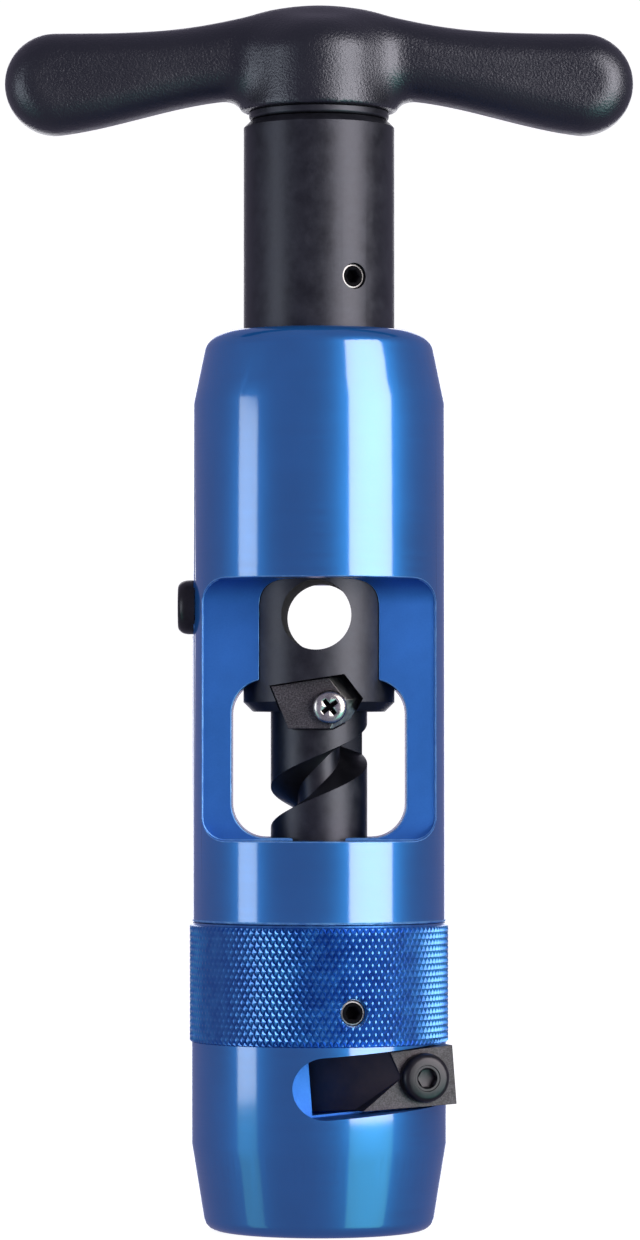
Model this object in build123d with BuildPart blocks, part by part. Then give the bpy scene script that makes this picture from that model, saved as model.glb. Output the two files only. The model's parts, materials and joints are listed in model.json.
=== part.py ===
"""Coring, stripping and deburring tool for half-inch hard-line coaxial cable.

Origin: centre of the cable bore's mouth on the flat base. +Z runs up the tool to the
T-handle, -Y is the front, where the facing blade shows in the window. Millimetres.
"""
from build123d import *
from math import cos, radians, sin

# Cable that the tool is made for: 12.7 sheath with an 11.48 inside, under a thin jacket
SHEATH_BORE_R = 6.45
JACKET_BORE_R = 7.40
JACKET_BORE_TOP_Z = 13.00
CHIP_RELIEF_R = 7.90
RUNNING = 0.05

# How far a cut runs past the surface it breaks through
OVERRUN = 1.00

# Stripping head, the lower barrel
HEAD_R = 15.16
HEAD_BASE_R = 13.50
HEAD_TAPER_Z = 10.30
HEAD_EDGE_FILLET = 1.80
BORE_MOUTH_CHAMFER = 0.80
KNURL_R = 15.28
KNURL_Z = 22.15
SEAM_Z = 36.20
SEAM_GAP = 0.05
SEAM_CHAMFER = 0.20
SPIGOT_R = 11.00
SPIGOT_Z = 23.50
GROOVE_R = 10.20
GROOVE_WIDTH = 3.40

# Tool body, the upper barrel
BODY_R = 15.00
BODY_TOP_Z = 105.90
BODY_TAPER_Z = 97.40
BODY_SHOULDER_R = 13.27
BODY_TOP_FILLET = 2.60
SPINDLE_BORE_R = 9.00
POCKET_FLOOR_Y = 5.70
POCKET_HALF_WIDTH = 13.70
POCKET_LOW_Z = 45.90
POCKET_HIGH_Z = 76.50
POCKET_CORNER_R = 2.70
POCKET_END_FILLET = 3.00
WINDOW_HALF_WIDTH = 10.25
WINDOW_LOW_Z = 46.20
WINDOW_HIGH_Z = 64.75
WINDOW_CORNER_R = 4.00

# Spindle, with its hub at the lower end
SPINDLE_R = 8.94
SPINDLE_LOW_Z = 61.05
SPINDLE_TOP_Z = 131.10
HUB_CHAMFER = 1.10
SPINDLE_TOP_CHAMFER = 0.80
CROSS_HOLE_R = 4.10
CROSS_HOLE_Z = 72.30
CROSS_HOLE_TURN = 2.30
CROSS_HOLE_CHAMFER = 0.35
STUD_SOCKET_R = 4.75
STUD_SOCKET_Z = 107.00
AUGER_SOCKET_TOP_Z = 67.50

# Coring auger: one right-hand flute round a drilled core
AUGER_R = 5.715
AUGER_TIP_Z = 38.00
AUGER_TOP_Z = 67.40
FLUTE_PITCH = 15.20
FLUTE_WIDTH = 4.85
FLUTE_ROOT_WIDTH = 2.60
FLUTE_ROOT_R = 2.50
FLUTE_TOP_Z = 58.40
FLUTE_FLARE = 0.30
FLUTE_Z_AT_X_AXIS = 57.30
CONDUCTOR_HOLE_R = 1.60
AUGER_CHAMFER = 0.30

# Facing blade, which trims and deburrs the sheath end
FACING_SEAT_Y = 4.80
FACING_FACE_Y = 7.30
FACING_CLEARANCE = 0.15
FACING_SCREW_X = 1.25
FACING_SCREW_Z = 61.50
FACING_SCREW_HOLE = 2.60
FACING_BEVEL = 1.60
FACING_OUTLINE = [(-5.6, 63.9), (2.9, 65.2), (5.0, 62.5), (3.7, 60.1), (1.6, 59.0), (-3.6, 59.0)]

# Jacket blade: a tangential planing blade in an inclined slot
SLOT_AZIMUTH = 17.0
SLOT_RISE = 4.5
SLOT_Z = 17.67
SLOT_HALF_WIDTH = 3.60
SLOT_END_U = -3.67
SLOT_FLOOR_D = 9.20
CHIP_WINDOW_LEFT_U = -3.90
CHIP_WINDOW_RIGHT_U = 3.40
CHIP_WINDOW_HALF_WIDTH = 3.35
BLADE_TIP_U = -2.90
BLADE_TIP_D = 5.85
BLADE_BEVEL_U = -0.90
BLADE_BEVEL_D = 7.90
BLADE_APEX_U = 6.27
BLADE_FACE_D = 12.20
BLADE_END_U = 12.85
BLADE_HEEL_U = 3.20
BLADE_SCREW_U = 9.00
BLADE_SCREW_HOLE = 5.50
BLADE_BACK_D = 6.70
BLADE_HEEL_D = 7.20
BLADE_TIP_HALF_WIDTH = 3.15
BLADE_END_HALF_WIDTH = 3.45
RAKE_HALF_WIDTH = 4.00
RAKE_LOW_U = 0.20
RAKE_APEX_V = 0.20
RAKE_HIGH_U = 4.95

# T-handle, its steel stud and the ring under its boss
LOBE_R = 6.00
LOBE_X = 31.30
LOBE_Z = 135.50
BAR_NECK_X = 11.40
BAR_NECK_TOP_Z = 142.90
BAR_NECK_LOW_Z = 133.60
BAR_MID_X = 23.60
BAR_MID_LOW_Z = 131.20
BAR_CREST_Z = 144.30
BAR_HALF_DEPTH = 4.60
BAR_EDGE_FILLET = 3.40
BOSS_R = 8.95
BOSS_LOW_Z = 132.20
BOSS_SHOULDER_Z = 139.50
HANDLE_TOP_Z = 144.85
STUD_R = 4.72
STUD_LOW_Z = 108.50
STUD_TOP_Z = 140.00
STUD_FLAT_D = 4.40
COLLAR_R = 8.30
COLLAR_LOW_Z = 131.20
COLLAR_CHAMFER = 0.25
STUD_CHAMFER = 0.50

# Fasteners: thread radius, thread length, head radius, head height, hex across flats.
# The ratios below are to the head height, and for the cross recess's span and width to its radius.
BUTTON_M3 = {"thread_r": 1.50, "length": 7.5, "head_r": 2.90, "head_h": 1.65, "hex": 2.0}
BUTTON_M3_5 = {"thread_r": 1.75, "length": 8.6, "head_r": 3.20, "head_h": 2.05, "hex": 2.3}
PAN_M2 = {"thread_r": 1.00, "length": 4.6, "head_r": 2.00, "head_h": 1.30}
SET_M3_R = 1.50
SET_M3_HEX = 1.5
SET_M3_SOCKET = 1.4
SET_M3_CHAMFER = 0.25
SET_M3_LENGTH = 4.0
SET_M3_SHORT_LENGTH = 3.0
BUTTON_CROWN = 0.80
BUTTON_SOCKET = 0.70
PAN_CROWN = 0.60
CROSS_SPAN = 1.15
CROSS_WIDTH = 0.27
CROSS_DEPTH = 0.65
THREAD_CLEARANCE = 0.04
HEX_CORNER_RATIO = 1 / (2 * cos(radians(30)))

RETAINER_Z = 73.40
RETAINER_SEAT_D = 14.65
RETAINER_SPOTFACE_R = 3.70
RETAINER_REACH = 3.84
SHANK_SET_Z = 112.00
SHANK_SET_AZIMUTH = 28.0
SHANK_SET_D = 8.50
HEAD_SET_Z = 26.10
HEAD_SET_AZIMUTH = 15.6
HEAD_SET_D = 14.45
AUGER_SET_Z = 64.20
AUGER_SET_AZIMUTH = 180.0
AUGER_SET_D = 8.80


def radial_plane(azimuth, distance, z):
    """Plane facing outwards, its azimuth in degrees from the front towards +X."""
    outward = Vector(sin(radians(azimuth)), -cos(radians(azimuth)), 0)
    return Plane(origin=outward * distance + Vector(0, 0, z), z_dir=outward)


def slot_plane():
    """Plane through the tool's axis: local X runs along the blade, local Z is outwards."""
    turn = radians(SLOT_AZIMUTH)
    rise = radians(SLOT_RISE)
    along = Vector(cos(turn) * cos(rise), sin(turn) * cos(rise), sin(rise))
    outward = Vector(sin(turn), -cos(turn), 0)
    return Plane(origin=(0, 0, SLOT_Z), x_dir=along, z_dir=outward)


def save(builder, name):
    """Label a finished piece and write it to its own STEP file."""
    builder.part.label = name
    export_step(builder.part, f"parts/{name}.step")


def button_screw(seat, size):
    """Button-head screw seated on a plane, its thread running inwards."""
    with BuildPart() as screw:
        with BuildSketch(seat):
            Circle(size["head_r"])
        extrude(amount=size["head_h"])
        crown = screw.faces().sort_by(Axis(seat.origin, seat.z_dir))[-1].edges()
        fillet(crown, size["head_h"] * BUTTON_CROWN)
        with BuildSketch(seat):
            Circle(size["thread_r"])
        extrude(amount=-size["length"])
        with BuildSketch(seat.offset(size["head_h"])):
            RegularPolygon(size["hex"] * HEX_CORNER_RATIO, 6)
        extrude(amount=-size["head_h"] * BUTTON_SOCKET, mode=Mode.SUBTRACT)
    return screw


def set_screw(mouth, length):
    """Hex-socket set screw with a cup-chamfered tip; the plane is its outer end."""
    with BuildPart() as screw:
        with BuildSketch(mouth):
            Circle(SET_M3_R)
        extrude(amount=-length)
        chamfer(screw.edges().filter_by(GeomType.CIRCLE), SET_M3_CHAMFER)
        with BuildSketch(mouth):
            RegularPolygon(SET_M3_HEX * HEX_CORNER_RATIO, 6)
        extrude(amount=-SET_M3_SOCKET, mode=Mode.SUBTRACT)
    return screw


def pan_screw(seat, size):
    """Small pan-head screw with a cross recess."""
    with BuildPart() as screw:
        with BuildSketch(seat):
            Circle(size["head_r"])
        extrude(amount=size["head_h"])
        crown = screw.faces().sort_by(Axis(seat.origin, seat.z_dir))[-1].edges()
        fillet(crown, size["head_h"] * PAN_CROWN)
        with BuildSketch(seat):
            Circle(size["thread_r"])
        extrude(amount=-size["length"])
        with BuildSketch(seat.offset(size["head_h"])):
            Rectangle(size["head_r"] * CROSS_SPAN, size["head_r"] * CROSS_WIDTH, rotation=45)
            Rectangle(size["head_r"] * CROSS_SPAN, size["head_r"] * CROSS_WIDTH, rotation=-45)
        extrude(amount=-size["head_h"] * CROSS_DEPTH, mode=Mode.SUBTRACT)
    return screw


BLADE_PLANE = slot_plane()
BLADE_SCREW_SEAT = Plane(
    origin=BLADE_PLANE.from_local_coords((BLADE_SCREW_U, 0, BLADE_FACE_D)),
    x_dir=BLADE_PLANE.x_dir,
    z_dir=BLADE_PLANE.z_dir,
)
FACING_PLANE = Plane.XZ
FACING_SCREW_SEAT = Plane(
    origin=(FACING_SCREW_X, -FACING_FACE_Y, FACING_SCREW_Z), x_dir=(1, 0, 0), z_dir=(0, -1, 0)
)
CROSS_HOLE_PLANE = Plane(
    origin=(0, 0, CROSS_HOLE_Z),
    z_dir=(-sin(radians(CROSS_HOLE_TURN)), -cos(radians(CROSS_HOLE_TURN)), 0),
)

# Stripping head: turned barrel, socketed for the body's spigot
with BuildPart() as stripping_head:
    with BuildSketch(Plane.XZ):
        with BuildLine():
            Polyline(
                (JACKET_BORE_R + BORE_MOUTH_CHAMFER, 0),
                (HEAD_BASE_R, 0),
                (HEAD_R, HEAD_TAPER_Z),
                (HEAD_R, KNURL_Z),
                (KNURL_R, KNURL_Z + SEAM_CHAMFER),
                (KNURL_R, SEAM_Z - SEAM_GAP - SEAM_CHAMFER),
                (KNURL_R - SEAM_CHAMFER, SEAM_Z - SEAM_GAP),
                (SPIGOT_R + RUNNING, SEAM_Z - SEAM_GAP),
                (SPIGOT_R + RUNNING, SPIGOT_Z - 2 * RUNNING),
                (CHIP_RELIEF_R, SPIGOT_Z - 2 * RUNNING),
                (CHIP_RELIEF_R, JACKET_BORE_TOP_Z),
                (JACKET_BORE_R, JACKET_BORE_TOP_Z),
                (JACKET_BORE_R, BORE_MOUTH_CHAMFER),
                close=True,
            )
        make_face()
    revolve(axis=Axis.Z)
    base_rim = stripping_head.edges().filter_by(GeomType.CIRCLE).group_by(Axis.Z)[0]
    fillet(base_rim.sort_by(SortBy.RADIUS)[-1], HEAD_EDGE_FILLET)
    with BuildSketch(BLADE_PLANE.offset(SLOT_FLOOR_D)):
        with Locations((SLOT_END_U, 0)):
            Circle(SLOT_HALF_WIDTH)
            Rectangle(2 * HEAD_R, 2 * SLOT_HALF_WIDTH, align=(Align.MIN, Align.CENTER))
    extrude(amount=HEAD_R, mode=Mode.SUBTRACT)
    with BuildSketch(BLADE_PLANE.offset(SLOT_FLOOR_D)):
        with Locations((CHIP_WINDOW_LEFT_U, 0)):
            Rectangle(
                CHIP_WINDOW_RIGHT_U - CHIP_WINDOW_LEFT_U,
                2 * CHIP_WINDOW_HALF_WIDTH,
                align=(Align.MIN, Align.CENTER),
            )
    extrude(amount=-SLOT_FLOOR_D / 2, mode=Mode.SUBTRACT)
    with Locations(BLADE_SCREW_SEAT.offset(SLOT_FLOOR_D - BLADE_FACE_D).location):
        Hole(BUTTON_M3["thread_r"] + THREAD_CLEARANCE, depth=BLADE_SCREW_HOLE)
    with Locations(radial_plane(HEAD_SET_AZIMUTH, HEAD_R + OVERRUN, HEAD_SET_Z).location):
        Hole(SET_M3_R + THREAD_CLEARANCE, depth=HEAD_R + 2 * OVERRUN - SPIGOT_R)
save(stripping_head, "stripping_head")

# Jacket blade: a block whose rake face falls to a cutting edge at the sheath's surface
with BuildPart() as rake_waste:
    with BuildSketch(Plane(origin=BLADE_PLANE.origin, x_dir=BLADE_PLANE.x_dir, z_dir=-BLADE_PLANE.y_dir)):
        with BuildLine():
            Polyline(
                (BLADE_TIP_U, BLADE_TIP_D),
                (BLADE_BEVEL_U, BLADE_BEVEL_D),
                (BLADE_APEX_U, BLADE_FACE_D),
                (BLADE_APEX_U, BLADE_FACE_D + OVERRUN),
                (BLADE_TIP_U - OVERRUN, BLADE_FACE_D + OVERRUN),
                (BLADE_TIP_U - OVERRUN, BLADE_TIP_D),
                close=True,
            )
        make_face()
    extrude(amount=2 * SLOT_HALF_WIDTH, both=True)
    with BuildSketch(BLADE_PLANE):
        with BuildLine():
            Polyline(
                (BLADE_TIP_U - OVERRUN, -RAKE_HALF_WIDTH),
                (RAKE_LOW_U, -RAKE_HALF_WIDTH),
                (BLADE_APEX_U, RAKE_APEX_V),
                (RAKE_HIGH_U, RAKE_HALF_WIDTH),
                (BLADE_TIP_U - OVERRUN, RAKE_HALF_WIDTH),
                close=True,
            )
        make_face()
    extrude(amount=2 * HEAD_R, mode=Mode.INTERSECT)

with BuildPart() as jacket_blade:
    with BuildSketch(Plane(origin=BLADE_PLANE.origin, x_dir=BLADE_PLANE.x_dir, z_dir=-BLADE_PLANE.y_dir)):
        with BuildLine():
            Polyline(
                (BLADE_TIP_U, BLADE_TIP_D),
                (0, BLADE_BACK_D),
                (BLADE_HEEL_U, BLADE_HEEL_D),
                (BLADE_HEEL_U, SLOT_FLOOR_D),
                (BLADE_END_U, SLOT_FLOOR_D),
                (BLADE_END_U, BLADE_FACE_D),
                (BLADE_TIP_U, BLADE_FACE_D),
                close=True,
            )
        make_face()
    extrude(amount=2 * SLOT_HALF_WIDTH, both=True)
    with BuildSketch(BLADE_PLANE):
        with BuildLine():
            Polyline(
                (BLADE_TIP_U, -BLADE_TIP_HALF_WIDTH),
                (BLADE_END_U, -BLADE_END_HALF_WIDTH),
                (BLADE_END_U, BLADE_END_HALF_WIDTH),
                (BLADE_TIP_U, BLADE_TIP_HALF_WIDTH),
                close=True,
            )
        make_face()
    extrude(amount=2 * HEAD_R, mode=Mode.INTERSECT)
    add(rake_waste.part, mode=Mode.SUBTRACT)
    with Locations(BLADE_SCREW_SEAT.location):
        Hole(BUTTON_M3["thread_r"] + THREAD_CLEARANCE, depth=BLADE_FACE_D)
save(jacket_blade, "jacket_blade")

# Tool body: barrel with a milled pocket front and back, and a window through both
with BuildPart() as pocket:
    with BuildSketch(Plane.YZ) as pocket_profile:
        with Locations((-POCKET_FLOOR_Y, POCKET_LOW_Z)):
            Rectangle(BODY_R, POCKET_HIGH_Z - POCKET_LOW_Z, align=(Align.MAX, Align.MIN))
        fillet(pocket_profile.vertices().group_by(Axis.Y)[-1], POCKET_END_FILLET)
    extrude(amount=POCKET_HALF_WIDTH, both=True)
    with BuildSketch(Plane.XZ):
        with Locations((0, (POCKET_LOW_Z + POCKET_HIGH_Z) / 2)):
            RectangleRounded(2 * POCKET_HALF_WIDTH, POCKET_HIGH_Z - POCKET_LOW_Z, POCKET_CORNER_R)
    extrude(amount=2 * BODY_R, mode=Mode.INTERSECT)
    mirror(about=Plane.XZ)

with BuildPart() as tool_body:
    with BuildSketch(Plane.XZ):
        with BuildLine():
            Polyline(
                (SHEATH_BORE_R + BORE_MOUTH_CHAMFER, SPIGOT_Z),
                (SPIGOT_R, SPIGOT_Z),
                (SPIGOT_R, HEAD_SET_Z - GROOVE_WIDTH / 2),
                (GROOVE_R, HEAD_SET_Z - GROOVE_WIDTH / 2),
                (GROOVE_R, HEAD_SET_Z + GROOVE_WIDTH / 2),
                (SPIGOT_R, HEAD_SET_Z + GROOVE_WIDTH / 2),
                (SPIGOT_R, SEAM_Z),
                (BODY_R - SEAM_CHAMFER, SEAM_Z),
                (BODY_R, SEAM_Z + SEAM_CHAMFER),
                (BODY_R, BODY_TAPER_Z),
                (BODY_SHOULDER_R, BODY_TOP_Z),
                (SPINDLE_BORE_R, BODY_TOP_Z),
                (SPINDLE_BORE_R, WINDOW_LOW_Z + WINDOW_CORNER_R),
                (SHEATH_BORE_R, WINDOW_LOW_Z + WINDOW_CORNER_R),
                (SHEATH_BORE_R, SPIGOT_Z + BORE_MOUTH_CHAMFER),
                close=True,
            )
        make_face()
    revolve(axis=Axis.Z)
    top_rims = tool_body.edges().filter_by(GeomType.CIRCLE).group_by(Axis.Z)[-1]
    fillet(top_rims.sort_by(SortBy.RADIUS)[-1], BODY_TOP_FILLET)
    add(pocket.part, mode=Mode.SUBTRACT)
    with BuildSketch(Plane.XZ):
        with Locations((0, (WINDOW_LOW_Z + WINDOW_HIGH_Z) / 2)):
            RectangleRounded(2 * WINDOW_HALF_WIDTH, WINDOW_HIGH_Z - WINDOW_LOW_Z, WINDOW_CORNER_R)
    extrude(amount=2 * BODY_R, both=True, mode=Mode.SUBTRACT)
    with Locations(radial_plane(-90, BODY_R, RETAINER_Z).location):
        CounterBoreHole(
            radius=BUTTON_M3_5["thread_r"] + THREAD_CLEARANCE,
            counter_bore_radius=RETAINER_SPOTFACE_R,
            counter_bore_depth=BODY_R - RETAINER_SEAT_D,
            depth=BODY_R - SPINDLE_BORE_R + OVERRUN,
        )
save(tool_body, "tool_body")

# Spindle: shank for the handle above, hub for the auger and the facing blade below
with BuildPart() as facing_notch:
    with BuildSketch(FACING_PLANE.offset(FACING_SEAT_Y)):
        with BuildLine():
            Polyline(*FACING_OUTLINE, close=True)
        make_face()
        offset(amount=FACING_CLEARANCE, kind=Kind.INTERSECTION)
    extrude(amount=SPINDLE_R)

with BuildPart() as spindle:
    with BuildSketch(Plane.XZ):
        with BuildLine():
            Polyline(
                (0, AUGER_SOCKET_TOP_Z),
                (AUGER_R + RUNNING / 2, AUGER_SOCKET_TOP_Z),
                (AUGER_R + RUNNING / 2, SPINDLE_LOW_Z),
                (SPINDLE_R - HUB_CHAMFER, SPINDLE_LOW_Z),
                (SPINDLE_R, SPINDLE_LOW_Z + HUB_CHAMFER),
                (SPINDLE_R, SPINDLE_TOP_Z - SPINDLE_TOP_CHAMFER),
                (SPINDLE_R - SPINDLE_TOP_CHAMFER, SPINDLE_TOP_Z),
                (STUD_SOCKET_R, SPINDLE_TOP_Z),
                (STUD_SOCKET_R, STUD_SOCKET_Z),
                (0, STUD_SOCKET_Z),
                close=True,
            )
        make_face()
    revolve(axis=Axis.Z)
    add(facing_notch.part, mode=Mode.SUBTRACT)
    with BuildSketch(CROSS_HOLE_PLANE):
        Circle(CROSS_HOLE_R)
    extrude(amount=2 * SPINDLE_R, both=True, mode=Mode.SUBTRACT)
    with BuildSketch(Plane.XY.offset(AUGER_SOCKET_TOP_Z)):
        Circle(CONDUCTOR_HOLE_R + RUNNING)
    extrude(amount=CROSS_HOLE_R, mode=Mode.SUBTRACT)
    with Locations(radial_plane(-90, SPINDLE_R, RETAINER_Z).location):
        Hole(BUTTON_M3_5["thread_r"] + THREAD_CLEARANCE, depth=RETAINER_REACH)
    with Locations(radial_plane(SHANK_SET_AZIMUTH, SPINDLE_R, SHANK_SET_Z).location):
        Hole(SET_M3_R + THREAD_CLEARANCE, depth=SPINDLE_R - STUD_SOCKET_R + OVERRUN)
    with Locations(radial_plane(AUGER_SET_AZIMUTH, SPINDLE_R, AUGER_SET_Z).location):
        Hole(SET_M3_R + THREAD_CLEARANCE, depth=SPINDLE_R - AUGER_R + OVERRUN)
save(spindle, "spindle")

# Coring auger: the flute is swept up a right-hand helix and runs out below the hub
FLUTE_RISE = FLUTE_TOP_Z - AUGER_TIP_Z + FLUTE_WIDTH
FLUTE_START_Z = AUGER_TIP_Z - FLUTE_WIDTH
FLUTE_START_TURN = (FLUTE_START_Z - FLUTE_Z_AT_X_AXIS) / FLUTE_PITCH * 360
with BuildPart() as flute:
    with BuildLine() as flute_path:
        Helix(FLUTE_PITCH, FLUTE_RISE, AUGER_R)
    with BuildSketch(Plane.XZ):
        with BuildLine():
            Polyline(
                (AUGER_R + OVERRUN, FLUTE_WIDTH / 2 + FLUTE_FLARE),
                (FLUTE_ROOT_R, FLUTE_ROOT_WIDTH / 2),
                (FLUTE_ROOT_R, -FLUTE_ROOT_WIDTH / 2),
                (AUGER_R + OVERRUN, -FLUTE_WIDTH / 2 - FLUTE_FLARE),
                close=True,
            )
        make_face()
    sweep(path=flute_path.line, is_frenet=True)
FLUTE_CUTTER = Pos(0, 0, FLUTE_START_Z) * Rot(0, 0, FLUTE_START_TURN) * flute.part

with BuildPart() as coring_auger:
    with BuildSketch(Plane.XY.offset(AUGER_TIP_Z)):
        Circle(AUGER_R)
    extrude(amount=AUGER_TOP_Z - AUGER_TIP_Z)
    chamfer(coring_auger.edges().filter_by(GeomType.CIRCLE), AUGER_CHAMFER)
    add(FLUTE_CUTTER, mode=Mode.SUBTRACT)
    with BuildSketch(Plane.XY.offset(AUGER_TIP_Z)):
        Circle(CONDUCTOR_HOLE_R)
    extrude(amount=AUGER_TOP_Z - AUGER_TIP_Z, mode=Mode.SUBTRACT)
    add(facing_notch.part, mode=Mode.SUBTRACT)
    with Locations(FACING_SCREW_SEAT.offset(FACING_SEAT_Y - FACING_FACE_Y).location):
        Hole(PAN_M2["thread_r"] + THREAD_CLEARANCE, depth=FACING_SCREW_HOLE)
save(coring_auger, "coring_auger")

# Facing blade: small plate seated on the auger's flat, its lower edge trims the sheath
with BuildPart() as facing_blade:
    with BuildSketch(FACING_PLANE.offset(FACING_SEAT_Y)):
        with BuildLine():
            Polyline(*FACING_OUTLINE, close=True)
        make_face()
    extrude(amount=FACING_FACE_Y - FACING_SEAT_Y)
    right_edges = facing_blade.edges().filter_by(Axis.Y, reverse=True).group_by(Axis.Y)[0]
    chamfer(right_edges.sort_by(Axis.X)[-2:], FACING_BEVEL)
    with Locations(FACING_SCREW_SEAT.location):
        Hole(PAN_M2["thread_r"] + THREAD_CLEARANCE, depth=SPINDLE_R)
save(facing_blade, "facing_blade")

# T-handle: cast bar with lobed ends, swelling into a domed round boss
with BuildPart() as handle_bar:
    with BuildSketch(Plane.XZ):
        with BuildLine():
            Spline(
                (-LOBE_X, LOBE_Z + LOBE_R),
                (-BAR_NECK_X, BAR_NECK_TOP_Z),
                (0, BAR_CREST_Z),
                (BAR_NECK_X, BAR_NECK_TOP_Z),
                (LOBE_X, LOBE_Z + LOBE_R),
                tangents=((1, 0), (1, 0)),
            )
            ThreePointArc(
                (LOBE_X, LOBE_Z + LOBE_R), (LOBE_X + LOBE_R, LOBE_Z), (LOBE_X, LOBE_Z - LOBE_R)
            )
            Spline(
                (LOBE_X, LOBE_Z - LOBE_R),
                (BAR_MID_X, BAR_MID_LOW_Z),
                (BAR_NECK_X, BAR_NECK_LOW_Z),
                (-BAR_NECK_X, BAR_NECK_LOW_Z),
                (-BAR_MID_X, BAR_MID_LOW_Z),
                (-LOBE_X, LOBE_Z - LOBE_R),
                tangents=((-1, 0), (-1, 0)),
            )
            ThreePointArc(
                (-LOBE_X, LOBE_Z - LOBE_R), (-LOBE_X - LOBE_R, LOBE_Z), (-LOBE_X, LOBE_Z + LOBE_R)
            )
        make_face()
    extrude(amount=BAR_HALF_DEPTH, both=True)
    fillet(handle_bar.faces().sort_by(Axis.Y)[0].edges(), BAR_EDGE_FILLET)
    fillet(handle_bar.faces().sort_by(Axis.Y)[-1].edges(), BAR_EDGE_FILLET)

with BuildPart() as t_handle:
    with BuildSketch(Plane.XZ):
        with BuildLine():
            Polyline((0, HANDLE_TOP_Z), (0, BOSS_LOW_Z), (BOSS_R, BOSS_LOW_Z), (BOSS_R, BOSS_SHOULDER_Z))
            TangentArc((0, HANDLE_TOP_Z), (BOSS_R, BOSS_SHOULDER_Z), tangent=(1, 0))
        make_face()
    revolve(axis=Axis.Z)
    add(handle_bar.part)
    with BuildSketch(Plane.XY.offset(BOSS_LOW_Z)):
        Circle(STUD_R)
    extrude(amount=STUD_TOP_Z - BOSS_LOW_Z, mode=Mode.SUBTRACT)
save(t_handle, "t_handle")

# Handle stud: steel pin cast into the boss, flatted for the shank's set screw
with BuildPart() as handle_stud:
    with BuildSketch(Plane.XY.offset(STUD_LOW_Z)):
        Circle(STUD_R)
    extrude(amount=STUD_TOP_Z - STUD_LOW_Z)
    chamfer(handle_stud.edges().group_by(Axis.Z)[0], STUD_CHAMFER)
    with BuildSketch(radial_plane(SHANK_SET_AZIMUTH, STUD_FLAT_D, (STUD_LOW_Z + SPINDLE_TOP_Z) / 2)):
        Rectangle(2 * STUD_R, SPINDLE_TOP_Z - STUD_LOW_Z + OVERRUN)
    extrude(amount=OVERRUN, mode=Mode.SUBTRACT)
save(handle_stud, "handle_stud")

# Handle collar: ring between the boss and the end of the shank
with BuildPart() as handle_collar:
    with BuildSketch(Plane.XY.offset(COLLAR_LOW_Z)):
        Circle(COLLAR_R)
        Circle(STUD_R + RUNNING, mode=Mode.SUBTRACT)
    extrude(amount=BOSS_LOW_Z - COLLAR_LOW_Z)
    chamfer(handle_collar.edges().group_by(Axis.Z)[0].sort_by(SortBy.RADIUS)[-1], COLLAR_CHAMFER)
save(handle_collar, "handle_collar")

# Fasteners
jacket_blade_screw = button_screw(BLADE_SCREW_SEAT, BUTTON_M3)
save(jacket_blade_screw, "jacket_blade_screw")
retaining_screw = button_screw(radial_plane(-90, RETAINER_SEAT_D, RETAINER_Z), BUTTON_M3_5)
save(retaining_screw, "retaining_screw")
facing_blade_screw = pan_screw(FACING_SCREW_SEAT, PAN_M2)
save(facing_blade_screw, "facing_blade_screw")
shank_set_screw = set_screw(radial_plane(SHANK_SET_AZIMUTH, SHANK_SET_D, SHANK_SET_Z), SET_M3_LENGTH)
save(shank_set_screw, "shank_set_screw")
head_set_screw = set_screw(radial_plane(HEAD_SET_AZIMUTH, HEAD_SET_D, HEAD_SET_Z), SET_M3_LENGTH)
save(head_set_screw, "head_set_screw")
auger_set_screw = set_screw(radial_plane(AUGER_SET_AZIMUTH, AUGER_SET_D, AUGER_SET_Z), SET_M3_SHORT_LENGTH)
save(auger_set_screw, "auger_set_screw")
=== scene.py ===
"""Looks of the coring, stripping and deburring tool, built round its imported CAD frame."""
import json
from math import cos, pi, radians, sin, tau

import bmesh
import bpy
import numpy as np
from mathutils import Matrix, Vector


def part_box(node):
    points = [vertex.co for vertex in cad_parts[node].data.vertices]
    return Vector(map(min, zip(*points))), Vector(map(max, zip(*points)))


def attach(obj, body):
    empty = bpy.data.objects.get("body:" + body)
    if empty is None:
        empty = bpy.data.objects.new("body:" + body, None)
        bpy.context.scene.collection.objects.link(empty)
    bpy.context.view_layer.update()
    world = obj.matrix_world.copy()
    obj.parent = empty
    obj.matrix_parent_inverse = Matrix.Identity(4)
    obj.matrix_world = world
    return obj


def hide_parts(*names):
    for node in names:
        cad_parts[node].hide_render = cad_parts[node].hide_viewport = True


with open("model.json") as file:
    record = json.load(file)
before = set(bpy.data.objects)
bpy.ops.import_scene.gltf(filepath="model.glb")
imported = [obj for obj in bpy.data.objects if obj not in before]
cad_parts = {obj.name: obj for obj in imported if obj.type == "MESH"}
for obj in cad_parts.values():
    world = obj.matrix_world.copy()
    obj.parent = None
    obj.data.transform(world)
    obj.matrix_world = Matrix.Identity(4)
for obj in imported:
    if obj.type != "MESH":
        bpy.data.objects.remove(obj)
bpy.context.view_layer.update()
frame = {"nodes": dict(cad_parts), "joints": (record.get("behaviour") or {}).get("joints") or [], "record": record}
NODES = frame["nodes"]
BODY_OF = {node: body for body, nodes in frame["record"]["behaviour"]["bodies"].items() for node in nodes}
JOINTS = {joint["name"]: joint for joint in frame["joints"]}
MM = 0.001
WELD_M = 2e-6
FLAT_DEG = 0.4
SMOOTH_DEG = 24


# ---------------------------------------------------------------- helpers

def add_object(name, data):
    """Link a new object that holds the mesh, light or camera."""
    added = bpy.data.objects.new(name, data)
    bpy.context.scene.collection.objects.link(added)
    return added


def mesh_of(name, verts, faces, sharp=30):
    """Mesh from points in millimetres, smooth except across edges sharper than the angle."""
    mesh = bpy.data.meshes.new(name)
    mesh.from_pydata([tuple(c * MM for c in v) for v in verts], [], faces)
    mesh.polygons.foreach_set("use_smooth", [True] * len(mesh.polygons))
    mesh.update()
    mesh.set_sharp_from_angle(angle=radians(sharp))
    return mesh


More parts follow.
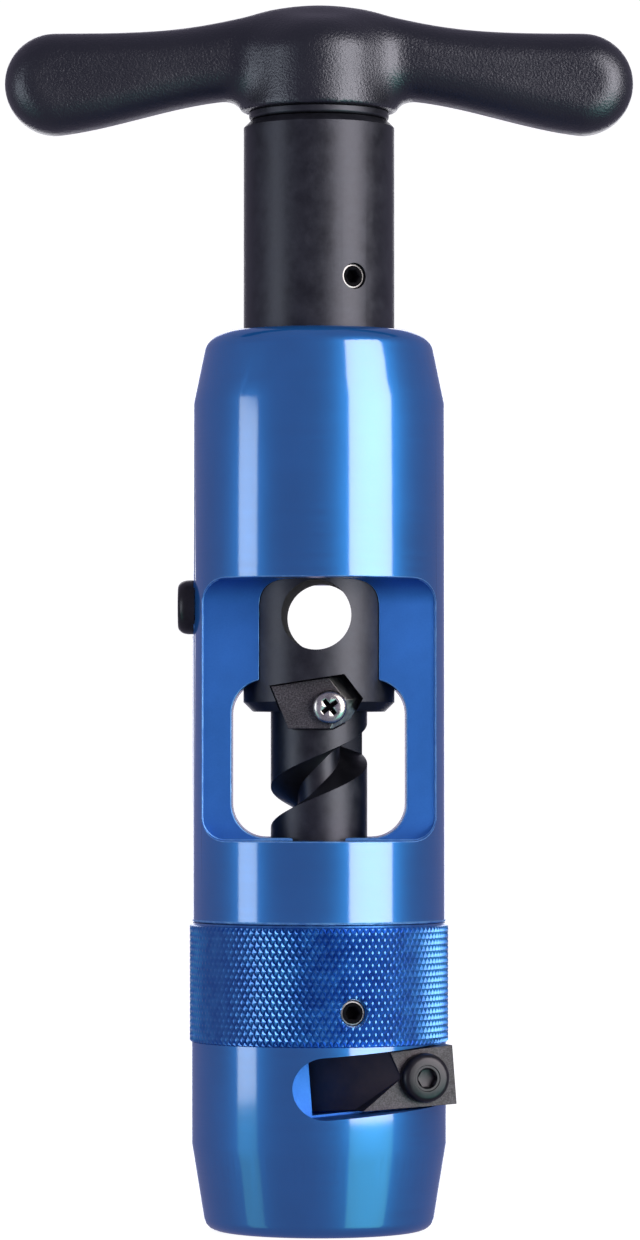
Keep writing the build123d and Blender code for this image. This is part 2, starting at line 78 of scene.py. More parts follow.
def dress(piece, node, *materials):
    """Let a piece stand for a CAD node: same body, with the materials given."""
    piece.data.materials.clear()
    for material in materials:
        piece.data.materials.append(material)
    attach(piece, BODY_OF[node])
    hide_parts(node)
    return piece


def welded_copy(node, reshape=None):
    """Copy of a CAD node's mesh with its triangles joined into clean faces."""
    bm = bmesh.new()
    bm.from_mesh(NODES[node].data)
    bmesh.ops.remove_doubles(bm, verts=bm.verts, dist=WELD_M)
    if reshape:
        reshape(bm)
    bmesh.ops.dissolve_limit(bm, angle_limit=radians(FLAT_DEG), verts=bm.verts, edges=bm.edges)
    for face in bm.faces:
        face.smooth = True
    mesh = bpy.data.meshes.new(node + "_finish")
    bm.to_mesh(mesh)
    bm.free()
    if mesh.attributes.get("custom_normal"):
        mesh.attributes.remove(mesh.attributes["custom_normal"])
    mesh.materials.clear()
    mesh.set_sharp_from_angle(angle=radians(SMOOTH_DEG))
    return mesh


def refined(node, edge, reshape=None, angle=28, edge_slot=-1, clamp=True):
    """A CAD node's shape with its sharp edges broken, edge in millimetres.

    edge_slot is the material of the broken edges, where -1 keeps that of their faces.
    """
    piece = add_object(node + "_finish", welded_copy(node, reshape))
    bevel = piece.modifiers.new("broken_edges", "BEVEL")
    bevel.width = edge * MM
    bevel.segments = 2
    bevel.limit_method = "ANGLE"
    bevel.angle_limit = radians(angle)
    bevel.use_clamp_overlap = clamp
    bevel.harden_normals = True
    bevel.material = edge_slot
    return piece


def place_on_joint(piece, joint):
    """Stand a piece made round +Z on a screw joint's axis."""
    axis = Vector(JOINTS[joint]["axis"]).normalized()
    piece.data.transform(axis.to_track_quat("Z", "Y").to_matrix().to_4x4())
    seat = Vector(JOINTS[joint]["pos_m"])
    for vert in piece.data.vertices:
        vert.co += seat


# ---------------------------------------------------------------- materials

MIX_COLOR_A, MIX_COLOR_B, MIX_COLOR_OUT = 6, 7, 2


class Graph:
    """Small helper round a material's node tree."""

    def __init__(self, name):
        self.material = bpy.data.materials.new(name)
        self.material.use_nodes = True
        self.tree = self.material.node_tree
        self.shader = self.tree.nodes["Principled BSDF"]
        self.coordinates = self.tree.nodes.new("ShaderNodeTexCoord").outputs["Object"]

    def node(self, kind, links=(), **values):
        """Add a node; values set its sockets or settings, links feed its sockets."""
        node = self.tree.nodes.new(kind)
        for key, value in values.items():
            if key in node.inputs:
                node.inputs[key].default_value = value
            else:
                setattr(node, key, value)
        for socket, source in dict(links).items():
            self.tree.links.new(source, node.inputs[socket])
        return node

    def stretched(self, x, y, z):
        """Object coordinates scaled to so many features a metre along each axis."""
        return self.node("ShaderNodeMapping", {"Vector": self.coordinates}, Scale=(x, y, z)).outputs["Vector"]

    def noise(self, vector, detail, roughness):
        links = {"Vector": vector}
        node = self.node("ShaderNodeTexNoise", links, Scale=1.0, Detail=detail, Roughness=roughness)
        return node.outputs["Fac"]

    def ramp(self, source, low, high, start, end):
        """Colour that runs from low to high while the source goes from start to end."""
        node = self.node("ShaderNodeValToRGB", {"Fac": source})
        stops = node.color_ramp.elements
        stops[0].position, stops[1].position = start, end
        stops[0].color, stops[1].color = low, high
        return node.outputs["Color"]

    def span(self, source, low, high, start, end):
        """Number that runs from low to high while the source goes from start to end."""
        node = self.node("ShaderNodeMapRange", {"Value": source})
        node.inputs["From Min"].default_value = start
        node.inputs["From Max"].default_value = end
        node.inputs["To Min"].default_value = low
        node.inputs["To Max"].default_value = high
        return node.outputs["Result"]

    def bump(self, height, strength, distance, below=None):
        """Normal disturbed by a height, distance in metres, over another bump if given."""
        links = {"Height": height}
        if below:
            links["Normal"] = below
        node = self.node("ShaderNodeBump", links, Strength=strength, Distance=distance)
        return node.outputs["Normal"]

    def feed(self, **sources):
        """Link sources to the shader's colour, roughness and normal."""
        names = {"color": "Base Color", "roughness": "Roughness", "normal": "Normal"}
        for key, source in sources.items():
            self.tree.links.new(source, self.shader.inputs[names[key]])

    def fixed(self, **values):
        """Set the shader's plain values and hand over the finished material."""
        for key, value in values.items():
            self.shader.inputs[key.replace("_", " ")].default_value = value
        return self.material


def blue_turned():
    """Glossy blue anodising over turned aluminium: fine rings round the barrel."""
    g = Graph("blue_turned")
    rings = g.noise(g.stretched(18, 18, 2600), 4.0, 0.7)
    cloud = g.noise(g.stretched(90, 90, 60), 3.0, 0.55)
    specks = g.noise(g.stretched(2600, 2600, 2600), 1.0, 0.5)
    g.feed(
        color=g.ramp(cloud, (0.014, 0.180, 0.53, 1), (0.018, 0.212, 0.62, 1), 0.3, 0.7),
        roughness=g.span(rings, 0.32, 0.42, 0.3, 0.7),
        normal=g.bump(specks, 0.05, 0.00002, g.bump(rings, 0.10, 0.00002)),
    )
    return g.fixed(
        Metallic=0.46,
        Specular_IOR_Level=0.0,
        Specular_Tint=(0.15, 0.35, 0.8, 1),
        Coat_Weight=1.0,
        Coat_Roughness=0.10,
        Coat_IOR=1.72,
    )


def blue_milled():
    """Satin blue anodising over milled and blasted faces."""
    g = Graph("blue_milled")
    grain = g.noise(g.stretched(4200, 4200, 4200), 2.0, 0.6)
    cloud = g.noise(g.stretched(140, 140, 140), 3.0, 0.6)
    g.feed(
        color=g.ramp(cloud, (0.030, 0.146, 0.48, 1), (0.038, 0.176, 0.58, 1), 0.3, 0.7),
        roughness=g.span(grain, 0.46, 0.60, 0.3, 0.7),
        normal=g.bump(grain, 0.22, 0.00003),
    )
    return g.fixed(Metallic=0.85)


def painted_edge_highlight():
    """Paler blue painted on the broken edges as the highlight they catch, in a tone that varies at random."""
    g = Graph("painted_edge_highlight")
    tone_noise = g.noise(g.stretched(900, 900, 900), 3.0, 0.6)
    g.feed(
        color=g.ramp(tone_noise, (0.08, 0.32, 0.80, 1), (0.22, 0.56, 0.98, 1), 0.3, 0.7),
        roughness=g.span(tone_noise, 0.36, 0.50, 0.3, 0.7),
    )
    return g.fixed(Metallic=0.3)


def blue_knurled():
    """Anodised knurl in a tone that varies a little at random."""
    g = Graph("blue_knurled")
    tone_noise = g.noise(g.stretched(700, 700, 700), 2.0, 0.6)
    g.feed(
        color=g.ramp(tone_noise, (0.024, 0.150, 0.50, 1), (0.045, 0.230, 0.60, 1), 0.35, 0.7),
        roughness=g.span(tone_noise, 0.30, 0.40, 0.3, 0.7),
    )
    return g.fixed(Metallic=0.9, Coat_Weight=0.7, Coat_Roughness=0.2)


def black_oxide(name="black_oxide", rough=(0.38, 0.50), tint=(0.040, 0.042, 0.052)):
    """Black oxide steel with turning rings and mottled oil sheen."""
    g = Graph(name)
    rings = g.noise(g.stretched(40, 40, 3000), 4.0, 0.7)
    mottle = g.noise(g.stretched(420, 420, 420), 4.0, 0.65)
    fine = g.noise(g.stretched(5200, 5200, 5200), 2.0, 0.6)
    low = tuple(channel * 0.85 for channel in tint) + (1,)
    high = tuple(channel * 1.4 for channel in tint) + (1,)
    g.feed(
        color=g.ramp(mottle, low, high, 0.3, 0.72),
        roughness=g.span(mottle, rough[0], rough[1], 0.3, 0.7),
        normal=g.bump(fine, 0.12, 0.00002, g.bump(rings, 0.14, 0.00002)),
    )
    return g.fixed(Metallic=0.8, Specular_IOR_Level=0.4)


def painted_bore_shade():
    """Near black painted into holes and recesses as their shade, over a dull finish with faint tool rings."""
    g = Graph("painted_bore_shade")
    rings = g.noise(g.stretched(300, 2400, 300), 3.0, 0.6)
    g.feed(
        color=g.ramp(rings, (0.004, 0.004, 0.005, 1), (0.016, 0.016, 0.020, 1), 0.3, 0.7),
        roughness=g.span(rings, 0.80, 0.95, 0.3, 0.7),
    )
    return g.fixed(Specular_IOR_Level=0.1)


def wrinkle_black():
    """Cast handle under a fine wrinkle coat: a close grain of shallow pits and ridges."""
    g = Graph("wrinkle_black")
    grain = g.node(
        "ShaderNodeTexVoronoi", {"Vector": g.stretched(2300, 2300, 2300)}, feature="SMOOTH_F1", Scale=1.8
    ).outputs["Distance"]
    wave = g.noise(g.stretched(4200, 4200, 4200), 4.0, 0.7)
    broad = g.noise(g.stretched(160, 160, 160), 3.0, 0.6)
    g.feed(
        color=g.ramp(wave, (0.002, 0.002, 0.003, 1), (0.007, 0.007, 0.010, 1), 0.35, 0.75),
        roughness=g.span(broad, 0.27, 0.36, 0.3, 0.7),
        normal=g.bump(grain, 0.5, 0.00006, g.bump(wave, 0.7, 0.00006)),
    )
    return g.fixed(Specular_IOR_Level=0.85, Specular_Tint=(0.80, 0.85, 1.0, 1))


def blade_face():
    """Dark brown-grey blade steel with a fine, paler sintered speckle."""
    g = Graph("blade_face")
    speck = g.noise(g.stretched(5200, 5200, 5200), 3.0, 0.75)
    tone = g.noise(g.stretched(300, 300, 300), 3.0, 0.6)
    dark = g.ramp(tone, (0.024, 0.022, 0.026, 1), (0.042, 0.038, 0.045, 1), 0.3, 0.7)
    light = g.ramp(tone, (0.10, 0.096, 0.110, 1), (0.155, 0.148, 0.168, 1), 0.3, 0.7)
    mix = g.node("ShaderNodeMix", data_type="RGBA")
    g.tree.links.new(g.span(speck, 0.0, 1.0, 0.42, 0.66), mix.inputs["Factor"])
    g.tree.links.new(dark, mix.inputs[MIX_COLOR_A])
    g.tree.links.new(light, mix.inputs[MIX_COLOR_B])
    g.feed(
        color=mix.outputs[MIX_COLOR_OUT],
        roughness=g.span(speck, 0.42, 0.62, 0.3, 0.7),
        normal=g.bump(speck, 0.25, 0.00002),
    )
    return g.fixed(Metallic=0.55)


def blade_ground():
    """Ground faces of a blade: near black, with grinding lines along the blade."""
    g = Graph("blade_ground")
    lines = g.noise(g.stretched(60, 60, 3200), 4.0, 0.7)
    tone = g.noise(g.stretched(380, 380, 380), 3.0, 0.6)
    g.feed(
        color=g.ramp(tone, (0.034, 0.038, 0.055, 1), (0.070, 0.060, 0.068, 1), 0.3, 0.72),
        roughness=g.span(lines, 0.32, 0.5, 0.3, 0.7),
        normal=g.bump(lines, 0.2, 0.00002),
    )
    return g.fixed(Metallic=0.35)


def bright_steel(name, low, high, rough):
    """Plated or turned bright steel with fine scratches."""
    g = Graph(name)
    scratch = g.noise(g.stretched(900, 2600, 900), 4.0, 0.7)
    g.feed(
        color=g.ramp(scratch, low, high, 0.35, 0.7),
        roughness=g.span(scratch, rough, rough + 0.16, 0.3, 0.7),
        normal=g.bump(scratch, 0.12, 0.00002),
    )
    return g.fixed(Metallic=1.0)


BLUE = blue_turned()
BLUE_MILLED = blue_milled()
BLUE_KNURL = blue_knurled()
EDGE_HIGHLIGHT = painted_edge_highlight()
OXIDE = black_oxide()
BORE_SHADE = painted_bore_shade()
SCREW_BLACK = black_oxide("screw_black", rough=(0.28, 0.42), tint=(0.032, 0.032, 0.037))
WRINKLE = wrinkle_black()
BLADE = blade_face()
GROUND = blade_ground()
NICKEL = bright_steel("screw_bright", (0.34, 0.33, 0.32, 1), (0.62, 0.61, 0.60, 1), 0.20)
STUD = bright_steel("stud_steel", (0.40, 0.40, 0.41, 1), (0.58, 0.58, 0.59, 1), 0.24)
RIM = bright_steel("worn_rim", (0.18, 0.18, 0.19, 1), (0.34, 0.34, 0.35, 1), 0.28)


# ---------------------------------------------------------------- barrels

def radius_of(point):
    """Distance from the tool's axis."""
    return (point.x ** 2 + point.y ** 2) ** 0.5


def paint(piece, test):
    """Give the piece's second material to the faces whose centre and normal pass the test."""
    for face in piece.data.polygons:
        if test(face.center / MM, face.normal):
            face.material_index = 1


BODY_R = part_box("tool_body")[1].x / MM
POCKET_LOW_Z = 45
POCKET_TOP_Z = 77


def in_pocket(centre, normal):
    """Milled walls of the window pockets, without the level faces and the turned skin."""
    upright = abs(normal.z) < 0.999 and abs(centre.y) > 0.5
    return upright and radius_of(centre) < BODY_R - 0.4 and POCKET_LOW_Z < centre.z < POCKET_TOP_Z


# Its broken edges take slot 2, a paler blue painted on as their highlight.
tool_body = refined("tool_body", 0.14, edge_slot=2, clamp=False)
dress(tool_body, "tool_body", BLUE, BLUE_MILLED, EDGE_HIGHLIGHT)
paint(tool_body, in_pocket)

head_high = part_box("stripping_head")[1] / MM
KNURL_R = head_high.x
KNURL_LOW_Z = 22.15
KNURL_CHAMFER = 0.2
KNURL_TOP_Z = head_high.z - KNURL_CHAMFER
KNURL_COLUMNS = 120
KNURL_ROWS = 19
TOOTH_DEPTH = 0.26
CREST_SHARE = 0.30
END_ROW_SHIFT = 0.3
BAND_CORE_R = KNURL_R - 0.62
SLOT_INNER_R = 8.4
SLOT_LOW_Z = 12.5
SLOT_OUT = Vector(JOINTS["jacket_blade_screw_turn"]["axis"])


def sink_band(bm):
    """Pull the plain band under the knurl ring that covers it."""
    for vert in bm.verts:
        radius = radius_of(vert.co) / MM
        if vert.co.z / MM > KNURL_LOW_Z + 0.1 and radius > KNURL_R - 0.4:
            scale = BAND_CORE_R / radius
            vert.co.x *= scale
            vert.co.y *= scale


def in_slot(centre, _):
    """Floor and walls of the jacket blade's slot."""
    within = SLOT_INNER_R < radius_of(centre) < KNURL_R - 0.5
    return within and SLOT_LOW_Z < centre.z < KNURL_LOW_Z and centre.dot(SLOT_OUT) > 0


stripping_head = refined("stripping_head", 0.12, sink_band)
dress(stripping_head, "stripping_head", BLUE, BLUE_MILLED)
paint(stripping_head, in_slot)


def knurl_ring():
    """Closed ring whose outside is a lattice of four-sided teeth with small flat crests."""
    columns, rows = KNURL_COLUMNS, KNURL_ROWS
    pitch = (KNURL_TOP_Z - KNURL_LOW_Z) / rows
    verts, faces = [], []

    def point(radius, turn, z):
        verts.append((radius * sin(turn), -radius * cos(turn), z))
        return len(verts) - 1

    def corner_turn(row, column):
        return (column + 0.5 * (row % 2)) * tau / columns

    valley = KNURL_R - TOOTH_DEPTH
    lattice = [
        [point(valley, corner_turn(row, column), KNURL_LOW_Z + row * pitch) for column in range(columns)]
        for row in range(rows + 1)
    ]
    for row in range(rows + 1):
        for column in range(columns):
            right = lattice[row][(column + 1) % columns]
            left = lattice[row][column]
            turn = corner_turn(row, column) + pi / columns
            over = (column + row % 2) % columns
            outline = [(left, -1, 0)]
            if row > 0:
                outline.append((lattice[row - 1][over], 0, -1))
            outline.append((right, 1, 0))
            if row < rows:
                outline.append((lattice[row + 1][over], 0, 1))
            middle = {0: END_ROW_SHIFT, rows: -END_ROW_SHIFT}.get(row, 0.0)
            crest = [
                point(
                    KNURL_R,
                    turn + dx * CREST_SHARE * pi / columns,
                    KNURL_LOW_Z + (row + middle + (dz - middle) * CREST_SHARE) * pitch,
                )
                for _, dx, dz in outline
            ]
            for k in range(len(outline)):
                after = (k + 1) % len(outline)
                faces.append((outline[k][0], outline[after][0], crest[after], crest[k]))
            faces.append(tuple(crest))
    inner = BAND_CORE_R - 0.1
    top = KNURL_TOP_Z + KNURL_CHAMFER
    rings = [(inner, 0, KNURL_LOW_Z), (valley - 0.1, rows, top), (inner, rows, top)]
    low_ring, rim_ring, top_ring = (
        [point(radius, corner_turn(row, column), z) for column in range(columns)] for radius, row, z in rings
    )
    loops = [lattice[rows], rim_ring, top_ring, low_ring, lattice[0]]
    for first, second in zip(loops, loops[1:]):
        for column in range(columns):
            after = (column + 1) % columns
            faces.append((first[column], first[after], second[after], second[column]))
    return mesh_of("knurl_ring", verts, faces, sharp=20)


def sunk(piece, joint, outline, low, high, taper=1.0):
    """Cut a prism out of the piece along a screw joint's axis, sizes in millimetres."""
    steps = len(outline)
    verts = [(x * taper, y * taper, low) for x, y in outline] + [(x, y, high) for x, y in outline]
    faces = [tuple(reversed(range(steps))), tuple(range(steps, 2 * steps))]
    faces += [(k, (k + 1) % steps, steps + (k + 1) % steps, steps + k) for k in range(steps)]
    cutter = add_object("cutter", mesh_of("cutter", verts, faces))
    place_on_joint(cutter, joint)
    cut = piece.modifiers.new("drilled", "BOOLEAN")
    cut.operation = "DIFFERENCE"
    cut.solver = "EXACT"
    cut.object = cutter
    graph = bpy.context.evaluated_depsgraph_get()
    mesh = bpy.data.meshes.new_from_object(piece.evaluated_get(graph))
    piece.modifiers.remove(cut)
    piece.data = mesh
    bpy.data.objects.remove(cutter)


SET_HOLE_R = 1.62
HOLE_STEPS = 48
HOLE_REACH = 3.0
HOLE_TURNS = [k * tau / HOLE_STEPS for k in range(HOLE_STEPS)]
SET_HOLE = [(SET_HOLE_R * cos(turn), SET_HOLE_R * sin(turn)) for turn in HOLE_TURNS]
knurl = add_object("knurl_band", knurl_ring())
sunk(knurl, "head_set_screw_turn", SET_HOLE, -HOLE_REACH, HOLE_REACH)
dress(knurl, "stripping_head", BLUE_KNURL)


# ---------------------------------------------------------------- spindle, auger and blades

SPINDLE_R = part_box("spindle")[1].x / MM
CROSS_HOLE_LOW_Z = 67.6
CROSS_HOLE_TOP_Z = 76.8
RAKE_SLANT = 0.25
OUTER_FACE = 0.97

spindle = refined("spindle", 0.10)
dress(spindle, "spindle", OXIDE, BORE_SHADE)
# Walls of the cross hole take slot 2, near black painted on as the shade inside the hole.
paint(spindle, lambda c, n: radius_of(c) < SPINDLE_R - 0.6 and CROSS_HOLE_LOW_Z < c.z < CROSS_HOLE_TOP_Z)

auger = refined("coring_auger", 0.06, angle=35)
dress(auger, "coring_auger", OXIDE)

collar = refined("handle_collar", 0.15)
dress(collar, "handle_collar", OXIDE)

stud = refined("handle_stud", 0.08)
dress(stud, "handle_stud", STUD)

facing_blade = refined("facing_blade", 0.06)
dress(facing_blade, "facing_blade", BLADE, RIM)
paint(facing_blade, lambda c, n: n.x > RAKE_SLANT and n.y < -RAKE_SLANT)

jacket_blade = refined("jacket_blade", 0.07)
dress(jacket_blade, "jacket_blade", BLADE, GROUND)
paint(jacket_blade, lambda c, n: n.dot(SLOT_OUT) < OUTER_FACE)


# ---------------------------------------------------------------- screws

TURNED_STEPS = 96


def turned(name, profile):
    """Turned solid round +Z from (radius, height, is_hex) rings, with both ends closed."""
    segments = TURNED_STEPS
    verts, faces, rings = [], [], []
    for radius, height, is_hex in profile:
        ring = []
        for k in range(segments):
            turn = k * tau / segments
            reach = radius / cos((turn % (pi / 3)) - pi / 6) if is_hex else radius
            verts.append((reach * cos(turn), reach * sin(turn), height))
            ring.append(len(verts) - 1)
        rings.append(ring)
    for first, second in zip(rings, rings[1:]):
        for k in range(segments):
            after = (k + 1) % segments
            faces.append((first[k], first[after], second[after], second[k]))
    for ring, is_low in ((rings[0], True), (rings[-1], False)):
        centre = len(verts)
        verts.append((0, 0, verts[ring[0]][2]))
        for k in range(segments):
            after = (k + 1) % segments
            faces.append((ring[after], ring[k], centre) if is_low else (ring[k], ring[after], centre))
    return mesh_of(name, verts, faces, sharp=32)


def button_head(name, joint, thread_r, length, head_r, head_h, flats):
    """Button-head screw: domed head, lip at the rim, ringed hex socket with a drilled floor."""
    dome = [
        (head_r * (0.72 + 0.28 * cos(a * 0.05 * pi)), head_h * (0.40 + 0.60 * sin(a * 0.05 * pi)))
        for a in range(10)
    ]
    socket = flats / 2
    profile = [(thread_r - 0.25, -length, False), (thread_r, -length + 0.3, False), (thread_r, 0, False)]
    profile += [(head_r - 0.06, 0, False), (head_r, 0.07, False), (head_r, head_h * 0.38, False)]
    profile += [(r, z, False) for r, z in dome]
    profile += [
        (socket * 1.55, head_h, False),
        (socket * 1.48, head_h - 0.12, False),
        (socket * 1.24, head_h - 0.12, False),
        (socket * 1.16, head_h - 0.04, False),
        (socket, head_h - 0.20, True),
        (socket, head_h * 0.30, True),
        (socket * 0.6, head_h * 0.26, False),
    ]
    piece = add_object(name, turned(name, profile))
    place_on_joint(piece, joint)
    return piece


def grub(name, joint, radius, length, flats):
    """Set screw round a deep hex socket, and which of its faces make the bright rim."""
    socket = flats / 2
    profile = [
        (radius - 0.45, -length, False),
        (radius, -length + 0.35, False),
        (radius, -0.22, False),
        (radius - 0.10, -0.04, False),
        (radius - 0.26, 0, False),
        (socket * 1.22, 0, False),
        (socket, -0.14, True),
        (socket, -1.5, True),
        (socket * 0.5, -1.6, False),
    ]
    piece = add_object(name, turned(name, profile))
    centres = [face.center / MM for face in piece.data.polygons]
    rim = [radius_of(centre) > radius - 0.20 and centre.z > -0.2 for centre in centres]
    place_on_joint(piece, joint)
    return piece, rim


jacket_screw = button_head(
    "jacket_screw", "jacket_blade_screw_turn", thread_r=1.5, length=7.5, head_r=2.9, head_h=1.65, flats=2.0
)
dress(jacket_screw, "jacket_blade_screw", SCREW_BLACK)
retainer = button_head(
    "retainer", "retaining_screw_turn", thread_r=1.75, length=8.6, head_r=3.2, head_h=2.05, flats=2.3
)
dress(retainer, "retaining_screw", SCREW_BLACK)


CROSS_TILT = 38


def pan_head(name, joint, thread_r, length, head_r, head_h):
    """Pan-head screw with a rolled rim and a tapered cross recess."""
    crown = [
        (head_r * (0.55 + 0.45 * cos(a * 0.05 * pi)), head_h * (0.45 + 0.55 * sin(a * 0.05 * pi)))
        for a in range(10)
    ]
    profile = [(thread_r - 0.2, -length, False), (thread_r, -length + 0.2, False), (thread_r, 0, False)]
    profile += [(head_r - 0.06, 0, False), (head_r, 0.06, False)]
    profile += [(r, z, False) for r, z in crown] + [(0.12, head_h, False)]
    piece = add_object(name, turned(name, profile))
    place_on_joint(piece, joint)
    arm, half = head_r * 0.60, head_r * 0.15
    plus = [(arm, half), (half, half), (half, arm), (-half, arm), (-half, half), (-arm, half)]
    plus += [(-x, -y) for x, y in plus]
    tilt = radians(CROSS_TILT)
    plus = [(x * cos(tilt) - y * sin(tilt), x * sin(tilt) + y * cos(tilt)) for x, y in plus]
    sunk(piece, joint, plus, head_h - 0.85, head_h + 0.2, taper=0.5)
    return piece


SEAT = Vector(JOINTS["facing_blade_screw_turn"]["pos_m"]) / MM
RECESS_R = 1.3


def in_recess(centre, _):
    """Floor and walls of the facing screw's cross recess, where near black is painted on as their shade."""
    off_axis = Vector((centre.x - SEAT.x, centre.z - SEAT.z)).length
    return SEAT.y - 1.2 < centre.y < SEAT.y - 0.2 and off_axis < RECESS_R


facing_screw = pan_head(
    "facing_screw", "facing_blade_screw_turn", thread_r=1.0, length=4.6, head_r=2.0, head_h=1.3
)
dress(facing_screw, "facing_blade_screw", NICKEL, BORE_SHADE)
paint(facing_screw, in_recess)

for node, length in (("shank_set_screw", 4.0), ("head_set_screw", 4.0), ("auger_set_screw", 3.0)):
    screw, bright = grub(node + "_finish", node + "_turn", radius=1.5, length=length, flats=1.5)
    # Face and socket take near black painted on as their shade; the chamfered rim takes bright steel.
    dress(screw, node, BORE_SHADE, RIM)
    for face, is_bright in zip(screw.data.polygons, bright):
        face.material_index = 1 if is_bright else 0


# ---------------------------------------------------------------- T-handle

handle_low, handle_high = (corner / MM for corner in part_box("t_handle"))
LOBE_R = 6.0
LOBE_X = handle_high.x - LOBE_R
LOBE_Z = handle_low.z + LOBE_R
BOSS_R = 8.95
BOSS_LOW_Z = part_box("handle_collar")[1].z / MM
BAR_HALF_DEPTH = 4.6
BAR_ROUND = 3.9
ARCH_RISE = 3.2
ARCH_SPREAD = 12.5
WAIST_RISE = 4.1
WAIST_RUN = 20.0
BOSS_ROUND = 3.4
BOSS_CROWN = 1.2
BOSS_SHOULDER = 1.5
BOSS_FILLET = 2.6
BAR_STARTS = BOSS_R + 2.5
NO_LIMIT = 60
STUD_R = 4.72
STUD_HOLE_TOP_Z = 140.0
NET_STEP = 0.42


def smooth_union(a, b, blend):
    """Two distance fields joined with a fillet of about the blend's size."""
    overlap = np.maximum(blend - np.abs(a - b), 0) / blend
    return np.minimum(a, b) - overlap ** 2 * blend / 4


def rounded(a, b, radius):
    """Intersection of two distance fields with its edge rounded."""
    qa, qb = a + radius, b + radius
    return np.hypot(np.maximum(qa, 0), np.maximum(qb, 0)) + np.minimum(np.maximum(qa, qb), 0) - radius


def handle_field(x, y, z):
    """Distance field of the handle: lobed bar, domed boss, hole for the stud."""
    side = np.abs(x)
    top = LOBE_Z + LOBE_R + ARCH_RISE * np.exp(-((side / ARCH_SPREAD) ** 2))
    t = np.clip((LOBE_X - side) / WAIST_RUN, 0, 1)
    low = LOBE_Z - LOBE_R + WAIST_RISE * (0.5 * t + 0.5 * t * t * (3 - 2 * t))
    strip = np.maximum(z - top, low - z)
    lobe = np.hypot(side - LOBE_X, z - LOBE_Z) - LOBE_R
    bar = rounded(np.where(side > LOBE_X, lobe, strip), np.abs(y) - BAR_HALF_DEPTH, BAR_ROUND)
    reach = np.hypot(x, y)
    dome = z - (handle_high.z - BOSS_SHOULDER) + (reach / BOSS_R) ** 2 * BOSS_CROWN
    boss = rounded(reach - BOSS_R, dome, BOSS_ROUND)
    whole = smooth_union(bar, boss, BOSS_FILLET)
    whole = np.maximum(whole, BOSS_LOW_Z - z + np.where(side > BAR_STARTS, -NO_LIMIT, 0))
    return np.maximum(whole, -np.maximum(reach - STUD_R, z - STUD_HOLE_TOP_Z))


def surface_net(field, low, high, step):
    """Closed quad mesh round a field's zero level, one vertex for each cell it crosses."""
    axes = [np.arange(low[k] - 2 * step, high[k] + 2 * step, step) for k in range(3)]
    grid = np.meshgrid(*axes, indexing="ij")
    values = field(*grid)
    cells = tuple(n - 1 for n in values.shape)
    total = np.zeros(cells + (3,))
    count = np.zeros(cells)
    crossings = []
    for axis in range(3):
        here = [slice(None)] * 3
        there = [slice(None)] * 3
        here[axis], there[axis] = slice(0, -1), slice(1, None)
        a, b = values[tuple(here)], values[tuple(there)]
        cross = (a < 0) != (b < 0)
        share = np.where(cross, a / np.where(a == b, 1, a - b), 0)
        spot = np.stack([g[tuple(here)] for g in grid], axis=-1)
        spot[..., axis] += share * step
        crossings.append((cross, a < 0))
        others = [k for k in range(3) if k != axis]
        for i in (0, 1):
            for j in (0, 1):
                window = [slice(None)] * 3
                window[others[0]] = slice(i, i + cells[others[0]])
                window[others[1]] = slice(j, j + cells[others[1]])
                mask = cross[tuple(window)]
                total += np.where(mask[..., None], spot[tuple(window)], 0)
                count += mask
    active = count > 0
    index = np.full(cells, -1)
    index[active] = np.arange(active.sum())
    verts = total[active] / count[active][:, None]
    quads = []
    for axis, (cross, inside) in enumerate(crossings):
        i, j = [(axis + 1) % 3, (axis + 2) % 3]
        at = np.argwhere(cross)
        at = at[(at[:, i] > 0) & (at[:, j] > 0)]
        step_i, step_j = np.eye(3, dtype=int)[i], np.eye(3, dtype=int)[j]
        ring = [at, at - step_i, at - step_i - step_j, at - step_j]
        ring = np.stack([index[tuple(r.T)] for r in ring], axis=1)
        flip = ~inside[tuple(at.T)]
        ring[flip] = ring[flip][:, ::-1]
        quads.append(ring)
    return verts, np.concatenate(quads)


net_verts, net_quads = surface_net(handle_field, handle_low, handle_high, NET_STEP)
handle = add_object("t_handle_finish", mesh_of("t_handle_finish", net_verts.tolist(), net_quads.tolist(), 50))
dress(handle, "t_handle", WRINKLE)


# ---------------------------------------------------------------- stage, light and camera

FLOOR_HALF_WIDTH = 3.0
FLOOR_FRONT = -3.0
BEND_START = 2.4
BEND_R = 0.6
BEND_STEPS = 12
BACKDROP_HEIGHT = 3.0


def sweep_floor():
    """Floor that curves up into a backdrop behind the tool, sizes in metres."""
    line = [(FLOOR_FRONT, 0.0), (BEND_START, 0.0)]
    for step in range(1, BEND_STEPS + 1):
        turn = step * pi / (2 * BEND_STEPS)
        line.append((BEND_START + BEND_R * sin(turn), BEND_R * (1 - cos(turn))))
    line.append((BEND_START + BEND_R, BACKDROP_HEIGHT))
    verts = [(side * FLOOR_HALF_WIDTH / MM, y / MM, z / MM) for y, z in line for side in (-1, 1)]
    faces = [(2 * k, 2 * k + 1, 2 * k + 3, 2 * k + 2) for k in range(len(line) - 1)]
    return add_object("floor", mesh_of("floor", verts, faces, sharp=60))


def white_paper():
    """Paper that glows a little, so that the backdrop reads as white."""
    material = bpy.data.materials.new("floor")
    material.use_nodes = True
    sockets = material.node_tree.nodes["Principled BSDF"].inputs
    sockets["Base Color"].default_value = (0.30, 0.30, 0.30, 1)
    sockets["Roughness"].default_value = 0.9
    sockets["Emission Color"].default_value = (1, 1, 1, 1)
    sockets["Emission Strength"].default_value = 0.94
    return material


floor = sweep_floor()
floor.data.materials.append(white_paper())
floor.visible_glossy = False
floor.visible_diffuse = False
floor.visible_shadow = False


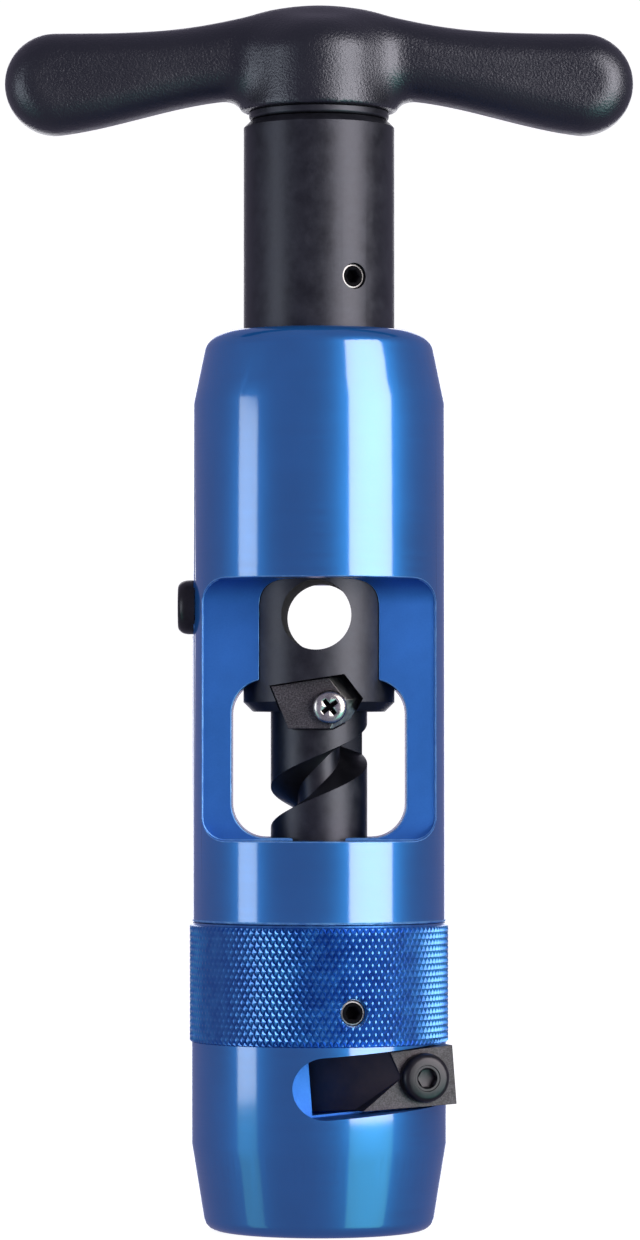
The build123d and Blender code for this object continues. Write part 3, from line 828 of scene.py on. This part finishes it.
def softbox(name, azimuth, distance, height, width, tall, power, color=(1, 1, 1)):
    """Area light facing the tool's axis; azimuth in degrees from the front towards +X."""
    data = bpy.data.lights.new(name, "AREA")
    data.shape = "RECTANGLE"
    data.size, data.size_y = width, tall
    data.energy = power
    data.color = color
    light = add_object(name, data)
    turn = radians(azimuth)
    light.location = (distance * sin(turn), -distance * cos(turn), height)
    aim = Vector((0, 0, height)) - light.location
    light.rotation_euler = aim.to_track_quat("-Z", "Y").to_euler()
    light.visible_diffuse = False


softbox("key_right", 48, 0.55, 0.245, 0.42, 0.57, 5.2, (1.0, 0.92, 0.86))
softbox("fill_left", -67, 0.55, 0.085, 0.19, 0.29, 0.68, (0.92, 0.97, 0.95))
softbox("low_right", 48, 0.55, -0.22, 0.42, 0.36, 0.75, (0.25, 1.0, 0.75))
softbox("low_left", -67, 0.55, -0.22, 0.20, 0.36, 0.18, (0.25, 1.0, 0.75))
softbox("back_left", -168, 0.7, 0.16, 0.20, 0.6, 0.7)
softbox("back_right", 168, 0.7, 0.16, 0.20, 0.6, 0.7)

top = bpy.data.lights.new("top", "AREA")
top.size = 1.6
top.energy = 5
top_light = add_object("top", top)
top_light.location = (0, -0.1, 1.2)
top_light.visible_glossy = False

world = bpy.data.worlds.new("studio")
bpy.context.scene.world = world
world.use_nodes = True
sky = world.node_tree
background = sky.nodes["Background"]
background.inputs["Color"].default_value = (0.37, 0.34, 0.46, 1)
background.inputs["Strength"].default_value = 0.80
white = sky.nodes.new("ShaderNodeBackground")
white.inputs["Color"].default_value = (1, 1, 1, 1)
white.inputs["Strength"].default_value = 1.0
choice = sky.nodes.new("ShaderNodeMixShader")
path = sky.nodes.new("ShaderNodeLightPath")
sky.links.new(path.outputs["Is Camera Ray"], choice.inputs["Fac"])
sky.links.new(background.outputs["Background"], choice.inputs[1])
sky.links.new(white.outputs["Background"], choice.inputs[2])
sky.links.new(choice.outputs["Shader"], sky.nodes["World Output"].inputs["Surface"])

CAMERA_AT = Vector((0.00012, -0.587, 0.055))
LOOK_AT = Vector((0.00012, 0, 0.0719))
camera_data = bpy.data.cameras.new("camera")
camera_data.sensor_width = 36.0
camera_data.lens = 143.9
camera_data.clip_start = 0.02
camera = add_object("camera", camera_data)
camera.location = CAMERA_AT
camera.rotation_euler = (LOOK_AT - CAMERA_AT).to_track_quat("-Z", "Y").to_euler()
bpy.context.scene.camera = camera
bpy.context.scene.view_settings.view_transform = "Standard"
